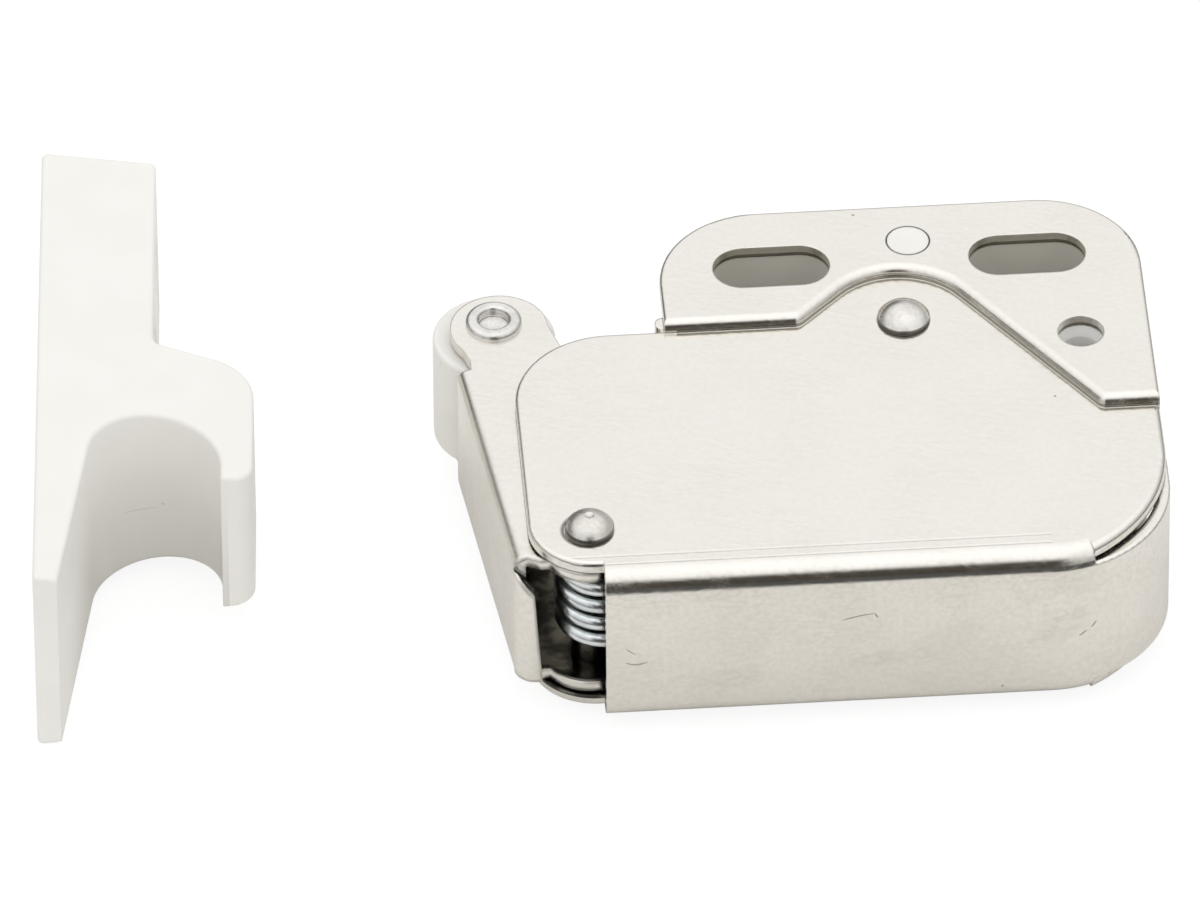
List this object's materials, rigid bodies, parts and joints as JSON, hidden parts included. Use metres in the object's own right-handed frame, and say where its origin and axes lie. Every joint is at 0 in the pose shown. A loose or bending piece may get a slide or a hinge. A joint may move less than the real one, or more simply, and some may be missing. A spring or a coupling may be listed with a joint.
{
  "type": "push-to-open latch with strike",
  "caption": "Push-to-open cabinet latch in a folded sheet case, with a spring-loaded roller lever, and the moulded strike that it holds.",
  "frame": {"origin": "midway between the two fixing slots, on the outer face of the lower flange, which is the mounting face", "axes": "+X along the row of slots, away from the roller lever; +Y out past the far edge of the flange; +Z out of the mounting face, along the fixing screws"},
  "size_m": [0.0811, 0.0478, 0.0159],
  "materials": {
    "nickel_plate": "bright nickel plate on rolled steel sheet",
    "rivet_steel": "satin nickel plate",
    "zinc_plate": "bright blue zinc plate",
    "white_plastic": "moulded, fine satin",
    "roller_plastic": "turned nylon, satin",
    "inner_plastic": "moulded, satin"
  },
  "bodies": {
    "housing": {"case": "nickel_plate", "spacer_block": "inner_plastic", "pivot_rivet": "rivet_steel", "cam_rivet": "rivet_steel", "torsion_spring": "zinc_plate", "strike": "white_plastic"},
    "lever_arm": {"lever": "nickel_plate", "roller_axle": "zinc_plate", "follower_pin": "zinc_plate"},
    "roller_body": {"roller": "roller_plastic"},
    "cam_body": {"heart_cam": "inner_plastic"}
  },
  "joints": [
    {"name": "lever_swing", "type": "hinge", "parent": "housing", "child": "lever_arm", "pos_m": [-0.0241, -0.0263, 0.0076], "axis": [0, 0, 1], "range_deg": [-5, 34], "deforming": ["torsion_spring"]},
    {"name": "roller_spin", "type": "hinge", "parent": "lever_arm", "child": "roller_body", "pos_m": [-0.0293, -0.0024, 0.0076], "axis": [0, 0, 1], "continuous": true},
    {"name": "cam_rock", "type": "hinge", "parent": "housing", "child": "cam_body", "pos_m": [-0.0001, -0.0054, 0.0076], "axis": [0, 0, 1], "range_deg": [0, 12]}
  ]
}
